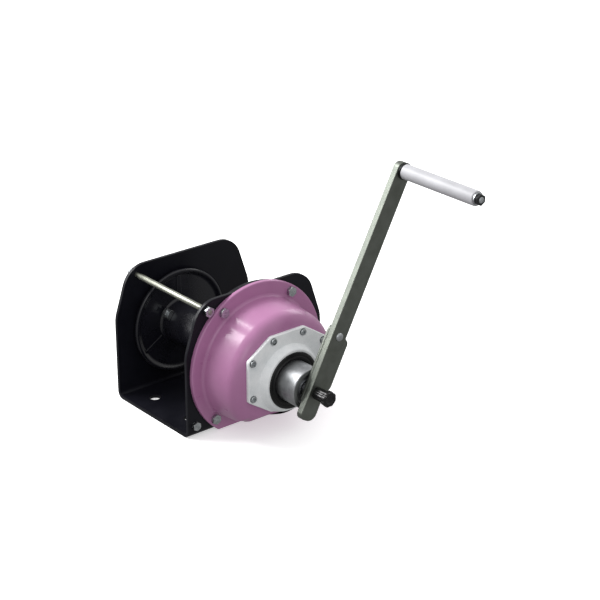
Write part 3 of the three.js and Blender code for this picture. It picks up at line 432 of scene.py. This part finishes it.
def hex_bolt(name, node, axis, seat, way, head_r, head_t, shank_r, reach, material=BOLT_ZINC):
    """A hexagon bolt: a crowned head on a thin washer face, and a shank with a chamfered end."""
    face = seat + way * 0.6
    head = hexagon(bmesh.new(), axis, head_r, face, seat + way * head_t)
    washer = spun(bmesh.new(), ((seat, 0), (seat, head_r * 0.9), (face, head_r * 0.9), (face, 0)), axis, 48)
    end = seat - way * reach
    profile = (
        (seat + way * 0.3, 0),
        (seat + way * 0.3, shank_r),
        (end + way, shank_r),
        (end, shank_r - 1),
        (end, 0),
    )
    shank = spun(bmesh.new(), profile, axis, 32)
    return piece(name, joined(head, washer, shank), material, node)


def nut(name, node, axis, x0, x1, radius, bore, material, washer_r=0.0):
    """A hexagon nut, crowned at x1, with a bore through it."""
    parts = [hexagon(bmesh.new(), axis, radius, x0, x1)]
    made = piece(name, joined(*parts), material, node)
    low, high = min(x0, x1) - 1, max(x0, x1) + 1
    return cut(made, [peg(axis, bore, low, high, 32)])


# ------------------------------------------------------------------ frame
def make_frame():
    copied("u_frame", BLACK_ENAMEL, 0.9, 3)
    rod = [(-111, 0), (-111, 3.2), (-110.2, 4), (-96, 4), (-86, 4.2), (-84, 5)]
    mirrored = [(-x, r) for x, r in reversed(rod)]
    revolve("tie_bar", rod + mirrored, TIE_ROD, ROD_ZINC, "tie_rod", 48, edge=0.25)
    nut("tie_nut_left", "tie_rod_nut_left", TIE_ROD, -102, -110, 9.2, 4.3, BOLT_ZINC)
    nut("tie_nut_right", "tie_rod_nut_right", TIE_ROD, 102, 110, 9.2, 4.3, BOLT_ZINC)
    for end, y in (("front", -126), ("rear", 126)):
        place = (y, 21)
        hex_bolt(f"corner_screw_{end}", f"corner_bolt_{end}", place, 102, 1, 8, 6, 4, 14)
        nut(f"corner_locknut_{end}", f"corner_nut_{end}", place, 96, 89, 8, 4.3, BOLT_ZINC)
    NODES["bearing_plate"].data.materials.clear()
    NODES["bearing_plate"].data.materials.append(BLACK_ENAMEL)


# ------------------------------------------------------------------ left bearing
def make_left_bearing():
    profile = ((-118, 19.4), (-118, 27), (-108, 27), (-108, 42), (-102, 42), (-102, 26), (-94, 26), (-94, 19.4))
    rounds = ((-108, 27, 3), (-118, 27, 1.5), (-108, 42, 1.2))
    housing = revolve("end_bearing", profile, DRUM, CAST_ALUMINIUM, "left_bearing_housing", 96, rounds)
    places = [
        (DRUM[0] + 34 * math.cos(math.radians(a)), DRUM[1] + 34 * math.sin(math.radians(a))) for a in (90, 210, 330)
    ]
    cut(housing, [peg(p, 4.3, -110, -100, 24) for p in places])
    for i, place in enumerate(places, 1):
        hex_bolt(f"bearing_screw_{i}", f"housing_bolt_{i}", place, -108, -1, 7, 5, 4, 15)
    revolve(
        "left_bush", ((-118, 15.12), (-118, 19.12), (-94, 19.12), (-94, 15.12)), DRUM, BRONZE, "left_bearing_bush", 64
    )


# ------------------------------------------------------------------ drum
def flange_ribs(bm, x, way):
    """Three swaged ribs from the barrel to the rolled rim."""
    for i in range(3):
        angle = math.radians(90 + 120 * i)
        along = (math.cos(angle), math.sin(angle))
        across = (-along[1], along[0])
        outline = [
            (DRUM[0] + r * along[0] + w * across[0], DRUM[1] + r * along[1] + w * across[1])
            for r, w in ((42, -5), (83, -3.5), (83, 3.5), (42, 5))
        ]
        rib = slab(bmesh.new(), outline, x - way * 0.5, x + way * 1.8)
        soften(rib, sharp_edges(rib), 1.1, 3)
        bm = joined(bm, rib)
    return bm


def make_drum():
    weld = ((-86, 33), (-86, 42), (-85, 41.6), (-83.4, 40), (-82.4, 38))
    barrel = weld + tuple((-8 - x, r) for x, r in reversed(weld))
    revolve("rope_barrel", barrel, DRUM, DRUM_ENAMEL, "drum_barrel", 96, edge=0.0)
    for side, x, way in (("left", -90, 1), ("right", 82, -1)):

        def at(depth):
            return x + way * depth

        profile = (
            (at(0), 15.3),
            (at(0), 93),
            (at(8), 93),
            (at(8), 87),
            (at(4), 83.5),
            (at(4), 32.7),
            (at(12), 32.7),
            (at(12), 15.3),
        )
        rounds = ((at(8), 93, 3.2), (at(8), 87, 2.4), (at(0), 93, 3), (at(4), 83.5, 3))
        bm = spun(bmesh.new(), profile, DRUM, 128, rounds, 0.3)
        bm = flange_ribs(bm, at(4), way)
        piece(f"pressed_flange_{side}", bm, DRUM_ENAMEL, f"drum_flange_{side}")
    end = -125
    profile = (
        (end, 0),
        (end, 14),
        (end + 1, 15),
        (-121, 15),
        (-121, 13.5),
        (-119, 13.5),
        (-119, 15),
        (129, 15),
        (129, 0),
    )
    revolve("drum_axle", profile, DRUM, DRUM_STEEL, "drum_shaft", 64, edge=0.2)
    make_snap_ring("axle_snap_ring", "drum_shaft_circlip", DRUM, -120.7, -119.3, 13.8, 19, 250)
    copied("rope_clamp", BOLT_ZINC, 0.8, 3)
    copied("rope_clamp_screw", BOLT_ZINC, 0.6, 3)


def make_snap_ring(name, node, axis, x0, x1, inner, outer, gap_at):
    """A retaining ring: thinner away from its gap, with a pierced lug each side of the gap."""
    band = outer - 1.2
    ring = spun(bmesh.new(), ((x0, inner), (x0, band), (x1, band), (x1, inner)), axis, 72)
    soften(ring, sharp_edges(ring), 0.2, 2)

    def place(degrees, radius):
        angle = math.radians(degrees)
        return (axis[0] + radius * math.cos(angle), axis[1] + radius * math.sin(angle))

    lugs = []
    for side in (-1, 1):
        centre = place(gap_at + side * 16, outer - 2.45)
        lug = spun(bmesh.new(), ((x0, 1.1), (x0, 2.45), (x1, 2.45), (x1, 1.1)), centre, 24)
        soften(lug, sharp_edges(lug), 0.2, 2)
        lugs.append(lug)
    made = piece(name, joined(ring, *lugs), BOLT_ZINC, node)
    mouth = [place(gap_at - 8, inner - 3), place(gap_at - 8, outer + 3), place(gap_at + 8, outer + 3)]
    mouth.append(place(gap_at + 8, inner - 3))
    holes = [peg(place(gap_at + side * 16, outer - 2.45), 1.1, x0 - 1, x1 + 1, 20) for side in (-1, 1)]
    return cut(made, [slab(bmesh.new(), mouth, x0 - 1, x1 + 1), *holes])


# ------------------------------------------------------------------ gear case
def soft_least(values, blend):
    """The least of some lengths, with the change from one to the next rounded."""
    lowest = min(values)
    return lowest - blend * math.log(sum(math.exp((lowest - v) / blend) for v in values))


def case_reach(angle, pockets=True):
    """How far the case's side stands from its centre: round, flat below, and let in at the foot bolts."""
    sine = math.sin(angle)
    reaches = [113.0]
    if sine < -0.1:
        reaches.append(70 / -sine)
    for y, z in CASE_BOLTS if pockets else ():
        dy, dz = y - CASE_CENTRE[0], z - CASE_CENTRE[1]
        far = math.hypot(dy, dz)
        off = angle - math.atan2(dz, dy)
        beside = far * math.sin(off)
        if abs(beside) < 14 and math.cos(off) > 0:
            reaches.append(far * math.cos(off) - math.sqrt(196 - beside**2))
    return soft_least(reaches, 2.2)


def make_gear_case():
    profile = (
        (106, 102.2),
        (106, 118),
        (109.2, 118),
        (109.2, 113.2),
        (183, 107),
        (183, 24.5),
        (162, 24.5),
        (162, 102.2),
    )
    rounds = ((109.2, 113.2, 4.6), (183, 107, 20), (162, 102.2, 5), (109.2, 118, 0.4))
    bm = spun(bmesh.new(), profile, CASE_CENTRE, 256, rounds)
    bmesh.ops.subdivide_edges(
        bm,
        edges=[e for e in bm.edges if abs(e.verts[0].co.x - e.verts[1].co.x) < 1e-6 and e.calc_length() > 30 * MM],
        cuts=6,
        use_grid_fill=True,
    )
    for v in bm.verts:
        dy, dz = v.co.y / MM - CASE_CENTRE[0], v.co.z / MM - CASE_CENTRE[1]
        far = math.hypot(dy, dz)
        inside = v.co.x / MM < 162.1 and far < 102.5
        outward = min(max((far - 62) / 36, 0), 1)
        weight = outward * outward * (3 - 2 * outward)
        factor = 1 + (case_reach(math.atan2(dz, dy), not inside) / 113 - 1) * weight
        v.co.y = (CASE_CENTRE[0] + dy * factor) * MM
        v.co.z = (CASE_CENTRE[1] + dz * factor) * MM
    bmesh.ops.recalc_face_normals(bm, faces=bm.faces)
    body = piece("case_body", bm, MAUVE_ENAMEL, "gear_case", crease=34)
    join(body, soft_prism(cover_corners(0.4), 172, 183, 3))
    openings = [slab(bmesh.new(), cover_corners(15), 168, 184), peg(CRANK, 46, 168, 184, 64)]
    openings += [peg(CRANK, 22.3, 160, 170, 64), peg(PAWL_PIN, 5.3, 160, 170, 24), peg(COUNTER, 9.62, 160, 166, 32)]
    openings += [peg(place, 3.3, 169, 184, 16) for place in cover_screw_places()]
    cut(body, openings, 34)

    foot = disc_with_flat((0, 108), 135, 2, 102, 109)
    rim = [e for e in sharp_edges(foot) if max(v.co.x for v in e.verts) > 0.10899 or abs(e.verts[0].co.x - e.verts[1].co.x) > 0.001]
    soften(foot, rim, 2.2, 4)
    foot_piece = piece("case_flange", foot, MAUVE_ENAMEL, body="frame")
    cut(
        foot_piece,
        [disc_with_flat(CASE_CENTRE, 101.5, 39, 101, 110)] + [peg(p, 5.3, 101, 110, 24) for p in CASE_BOLTS],
    )
    for i, place in enumerate(CASE_BOLTS, 1):
        hex_bolt(f"case_screw_{i}", f"gear_case_bolt_{i}", place, 109, 1, 9, 6, 5, 20)


def disc_with_flat(centre, radius, flat_z, x0, x1):
    """A disc across X whose lower side is cut off level."""
    bm = bmesh.new()
    bmesh.ops.create_circle(bm, cap_ends=True, radius=radius * MM, segments=192)
    bmesh.ops.rotate(bm, verts=bm.verts, cent=(0, 0, 0), matrix=Matrix.Rotation(math.pi / 2, 3, "Y"))
    bmesh.ops.translate(bm, verts=bm.verts, vec=(x0 * MM, centre[0] * MM, centre[1] * MM))
    bmesh.ops.bisect_plane(
        bm, geom=[*bm.verts, *bm.edges, *bm.faces], plane_co=(0, 0, flat_z * MM), plane_no=(0, 0, -1), clear_outer=True
    )
    grown = bmesh.ops.extrude_face_region(bm, geom=bm.faces[:])["geom"]
    moved = [v for v in grown if isinstance(v, bmesh.types.BMVert)]
    bmesh.ops.translate(bm, verts=moved, vec=((x1 - x0) * MM, 0, 0))
    bmesh.ops.recalc_face_normals(bm, faces=bm.faces)
    return bm


# ------------------------------------------------------------------ brake cover
COVER_MIDDLE = 117


def cover_corners(inset):
    """The octagon's corners, this far in from its edge, anticlockwise from the right."""
    y, z = 82 - inset, 67 - inset
    cut_y, cut_z = 47 - 0.5 * inset, 31 - 0.5 * inset
    quarter = [(y, z - cut_z), (y - cut_y, z)]
    top = quarter + [(-a, b) for a, b in reversed(quarter)]
    return [(a, COVER_MIDDLE + b) for a, b in top + [(a, -b) for a, b in reversed(top)]]


def cover_screw_places():
    return [p for p in cover_corners(9) if math.hypot(p[0] - CRANK[0], p[1] - CRANK[1]) > 63]


def soft_prism(corners, x0, x1, corner_r, rim_r=0.0):
    """A plate with rounded upright corners, and a rounded rim at x1."""
    plate = slab(bmesh.new(), corners, x0, x1)
    upright = [e for e in plate.edges if abs(e.verts[0].co.x - e.verts[1].co.x) > 0.001]
    soften(plate, upright, corner_r, 4)
    if rim_r:
        front = [e for e in sharp_edges(plate, 40) if all(abs(v.co.x - x1 * MM) < 1e-5 for v in e.verts)]
        soften(plate, front, rim_r, 4)
    return plate


def make_brake_cover():
    nose = spun(
        bmesh.new(),
        ((184, 0), (184, 60.5), (188.2, 60.5), (199, 54.5), (201, 52.5), (201, 0)),
        CRANK,
        144,
        ((199, 54.5, 1.6), (201, 52.5, 1)),
    )
    corners = cover_corners(0.3)
    for (ay, az), (by, bz) in zip(corners, corners[1:] + corners[:1]):
        out = Vector((0, bz - az, ay - by)).normalized()
        if out.dot(Vector((0, ay, az - COVER_MIDDLE))) < 0:
            out.negate()
        cut_edges = bmesh.ops.bisect_plane(
            nose,
            geom=[*nose.verts, *nose.edges, *nose.faces],
            plane_co=(0, ay * MM, az * MM),
            plane_no=out,
            clear_outer=True,
        )["geom_cut"]
        open_edges = [e for e in cut_edges if isinstance(e, bmesh.types.BMEdge)]
        if open_edges:
            bmesh.ops.holes_fill(nose, edges=open_edges, sides=0)
    bmesh.ops.recalc_face_normals(nose, faces=nose.faces)
    plate = soft_prism(cover_corners(0), 183, 189, 3, 1.8)
    cover = piece("brake_housing", plate, CAST_ALUMINIUM, "brake_cover", crease=30)
    join(cover, nose)
    cutters = [peg(CRANK, 44, 182, 203, 96), peg(CRANK, 49.3, 193, 203, 96), peg(PAWL_PIN, 5.3, 182, 186, 24)]
    for place in cover_screw_places():
        cutters += [peg(place, 3.3, 182, 190, 20), peg(place, 6.6, 187, 190, 32)]
    cut(cover, cutters, 26)
    for i, place in enumerate(cover_screw_places(), 1):
        head = spun(
            bmesh.new(),
            ((187, 0), (187, 5.5), (191.4, 5.5), (192, 4.9), (192, 0)),
            place,
            40,
            ((192, 4.9, 0.3),),
        )
        shank = peg(place, 3, 170, 187.2, 20)
        screw = piece(f"cover_cap_screw_{i}", joined(head, shank), BOLT_ZINC, f"cover_screw_{i}")
        cut(screw, [hexagon(bmesh.new(), place, 2.9, 193, 189.4, 0.05)])


def make_seal_and_boss():
    seal = (
        (193, 38.2),
        (193, 49),
        (202.2, 49),
        (203, 47.8),
        (203, 44.4),
        (201.6, 43.4),
        (201.6, 41.8),
        (202.6, 41),
        (202.6, 40.4),
        (200, 35.3),
        (198, 35.3),
    )
    revolve("lip_seal", seal, CRANK, SEAL_RUBBER, "shaft_seal", 128, edge=0.35)
    boss = (
        (184, 12.3),
        (184, 38),
        (187, 38),
        (187, 35),
        (244, 35),
        (244, 27),
        (238, 26),
        (238, 12.3),
    )
    rounds = ((244, 35, 1.6), (244, 27, 0.8), (238, 26, 1.2), (187, 35, 0.6))
    revolve("handle_hub", boss, CRANK, BOSS_STEEL, "handle_boss", 144, rounds, 0.25)
    make_snap_ring("hub_snap_ring", "boss_retaining_ring", CRANK, 238.2, 240.2, 12.3, 19, 205)


# ------------------------------------------------------------------ crank
def arm_slab(corners, x0, x1):
    """A plate along the arm, its corners (s, w, radius)."""
    return slab(bmesh.new(), [along_arm(s, w) for s, w, r in corners], x0, x1, [r for s, w, r in corners])


def square_hole(half, x0, x1):
    return slab(bmesh.new(), [along_arm(s, w) for s, w in ((-half, -half), (-half, half), (half, half), (half, -half))], x0, x1)


RIVET = along_arm(97, 0)


def make_crank():
    bar = arm_slab(((-48, -16, 10), (-48, 16, 14), (394, 16, 13), (394, -16, 13)), 250, 262)
    soften(bar, sharp_edges(bar, 50), 1.0, 3)
    bar_piece = piece("crank_bar", bar, ARM_ZINC, "crank_arm")
    cut(bar_piece, [square_hole(8.8, 249, 263), peg(RIVET, 4.3, 249, 263, 32), peg(GRIP, 6.3, 249, 263, 48)])

    out = 25.3
    plate = arm_slab(((-24, -16, 8), (14, out, 3), (91, out, 4), (111, 16, 6), (111, -16, 8)), 245, 250)
    soften(plate, sharp_edges(plate, 40), 0.7, 3)
    lip = arm_slab(((-4, 16.3, 1.5), (14, out, 3), (91, out, 4), (97, 16.3, 1.5)), 245.5, 261)
    soften(lip, sharp_edges(lip, 40), 0.7, 3)
    guide = piece("guide_plate", joined(plate, lip), ARM_ZINC, "arm_guide_plate")
    cut(guide, [square_hole(8.8, 244, 251), peg(RIVET, 4.3, 244, 251, 32)])

    rivet = ((242.5, 0), (242.5, 5), (245, 7), (245, 4), (262, 4), (262, 7.5), (264, 6.6), (265, 4.4), (265, 0))
    rounds = ((264, 6.6, 1), (265, 4.4, 1))
    revolve("guide_rivet", rivet, RIVET, BOLT_ZINC, "arm_rivet", 48, rounds, 0.2)


def make_knob():
    """A fluted collar against the arm, and a wider head with eight finger scallops and a dished face."""
    collar_end, head_start, head_end = 284, 285, 294
    profile = (
        (243, 0),
        (243, 5),
        (262, 5),
        (262, 10.5),
        (collar_end, 10.5),
        (collar_end, 8.5),
        (head_start, 8.5),
        (head_start, 13.5),
        (head_end - 1.6, 13.5),
        (head_end, 11.2),
        (head_end, 7.4),
        (head_end - 1.4, 5.6),
        (head_end - 1.4, 0),
    )
    rounds = (
        (collar_end, 10.5, 0.9),
        (head_start, 13.5, 0.9),
        (head_end - 1.6, 13.5, 0.8),
        (head_end, 11.2, 0.8),
        (head_end, 7.4, 0.6),
    )
    bm = spun(bmesh.new(), profile, CRANK, 192, rounds, 0.2)
    for v in bm.verts:
        x = v.co.x / MM
        dy, dz = v.co.y / MM - CRANK[0], v.co.z / MM - CRANK[1]
        far = math.hypot(dy, dz)
        lobes, depth, least = (8, 1.5, 11.5) if x > head_start - 0.5 else (12, 1.1, 9.2)
        if x > 262.5 and far > least:
            lobe = (0.5 + 0.5 * math.cos(lobes * math.atan2(dz, dy))) ** 2
            factor = 1 - depth * lobe * min(far - least, 1) / far
            v.co.y = (CRANK[0] + dy * factor) * MM
            v.co.z = (CRANK[1] + dz * factor) * MM
    piece("finger_knob", bm, BLACK_PLASTIC, "knob_bolt", crease=40)


def make_grip():
    spindle = (
        (247, 0),
        (247, 8),
        (250, 9),
        (250, 6),
        (426, 6),
        (426, 5),
        (434.2, 5),
        (435, 4.2),
        (435, 0),
    )
    revolve("grip_stud", spindle, GRIP, BOLT_ZINC, "grip_spindle", 48, edge=0.2)
    washer = ((262, 6.3), (262, 14), (264.5, 14), (264.5, 6.3))
    revolve("arm_washer", washer, GRIP, BLACK_OXIDE, "grip_washer", 64, edge=0.4)
    sleeve = ((265, 6.12), (265, 12.5), (425, 12.5), (425, 6.12))
    rounds = ((265, 12.5, 1.4), (425, 12.5, 1.8))
    revolve("handgrip", sleeve, GRIP, WHITE_PLASTIC, "grip_sleeve", 96, rounds, 0.3)
    flange = spun(bmesh.new(), ((426, 5.3), (426, 10.5), (427.6, 10.5), (428, 9.8), (428, 5.3)), GRIP, 64)
    head = hexagon(bmesh.new(), GRIP, 9.6, 427.5, 434)
    end_nut = piece("grip_locknut", head, BLACK_OXIDE, "grip_nut")
    cut(end_nut, [peg(GRIP, 5.3, 425, 436, 32)])
    piece("grip_end_washer", flange, BOLT_ZINC, body="crank")


def finish_hidden_nodes():
    """The pieces inside the case and the brake keep their CAD shape and take their real finish."""
    finishes = {
        GEAR_STEEL: ("drum_gear", "countershaft", "intermediate_gear", "input_shaft", "input_bearing"),
        BOLT_ZINC: ("pawl_pin", "pawl_spring", "ratchet_wheel", "pawl", "brake_hub"),
        CAST_ALUMINIUM: ("divider_plate",),
        BRONZE: ("right_bearing_bush",),
        FRICTION_LINING: ("friction_disc_inner", "friction_disc_outer"),
    }
    for material, names in finishes.items():
        for name in names:
            NODES[name].data.materials.clear()
            NODES[name].data.materials.append(material)


make_frame()
make_left_bearing()
make_drum()
make_gear_case()
make_brake_cover()
make_seal_and_boss()
make_crank()
make_knob()
make_grip()
finish_hidden_nodes()


# ------------------------------------------------------------------ floor, light and camera
def make_floor():
    """A wide pale floor that the base stands on."""
    bm = bmesh.new()
    bmesh.ops.create_grid(bm, x_segments=1, y_segments=1, size=12)
    mesh = bpy.data.meshes.new("studio_floor")
    bm.to_mesh(mesh)
    bm.free()
    paper, tree, shader, at = new_material("studio_paper")
    tree.links.new(tint(tree, noise(tree, at, 900, 2), "#f2f2f2", "#f6f6f6"), shader.inputs["Base Color"])
    shader.inputs["Roughness"].default_value = 0.9
    shader.inputs["Emission Color"].default_value = linear("#ffffff")
    shader.inputs["Emission Strength"].default_value = 0.42
    mesh.materials.append(paper)
    floor = bpy.data.objects.new("studio_floor", mesh)
    floor.location.z = -0.0004
    floor.visible_diffuse = False
    floor.visible_glossy = False
    bpy.context.scene.collection.objects.link(floor)


def softbox(name, place, aim, size, watts, colour="#ffffff"):
    data = bpy.data.lights.new(name, "AREA")
    data.shape = "RECTANGLE"
    data.size, data.size_y = size
    data.energy = watts
    data.color = linear(colour)[:3]
    lamp = bpy.data.objects.new(name, data)
    lamp.location = place
    lamp.rotation_euler = (Vector(aim) - Vector(place)).to_track_quat("-Z", "Y").to_euler()
    bpy.context.scene.collection.objects.link(lamp)
    return lamp


def make_light():
    world = bpy.data.worlds.new("studio")
    world.use_nodes = True
    tree = world.node_tree
    backdrop = tree.nodes["Background"]
    backdrop.inputs["Color"].default_value = linear("#ffffff")
    ways = add_node(tree, "ShaderNodeTexCoord").outputs["Generated"]
    height = add_node(tree, "ShaderNodeSeparateXYZ", None, Vector=ways).outputs["Z"]
    tree.links.new(spread(tree, height, 0.34, 0.86, -0.5, 0.7), backdrop.inputs["Strength"])
    bpy.context.scene.world = world
    aim = (0.08, 0, 0.15)
    softbox("key", (-1.9, -1.3, 2.4), aim, (1.9, 1.3), 120)
    edge = softbox("edge", (-1.9, -1.8, 1.05), aim, (1.0, 1.0), 25)
    edge.visible_diffuse = False
    softbox("fill", (2.4, -1.4, 1.3), aim, (1.2, 1.2), 8)
    softbox("rim", (-0.4, 2.2, 1.6), aim, (1.6, 0.8), 12)
    bpy.context.scene.view_settings.view_transform = "Standard"


def make_camera():
    heading, height = math.radians(39.57), math.radians(23.46)
    away = Vector(
        (math.cos(height) * math.cos(heading), -math.cos(height) * math.sin(heading), math.sin(height))
    )
    right = Vector((math.sin(heading), math.cos(heading), 0))
    up = away.cross(right)
    aim = Vector((0.102, 0, 0)) + 0.0741 * right + 0.1932 * up
    data = bpy.data.cameras.new("camera")
    data.lens = 107.15
    data.sensor_width = 36
    camera = bpy.data.objects.new("camera", data)
    camera.location = aim + 3.010 * away
    camera.rotation_euler = (-away).to_track_quat("-Z", "Y").to_euler()
    bpy.context.scene.collection.objects.link(camera)
    bpy.context.scene.camera = camera


make_floor()
make_light()
make_camera()
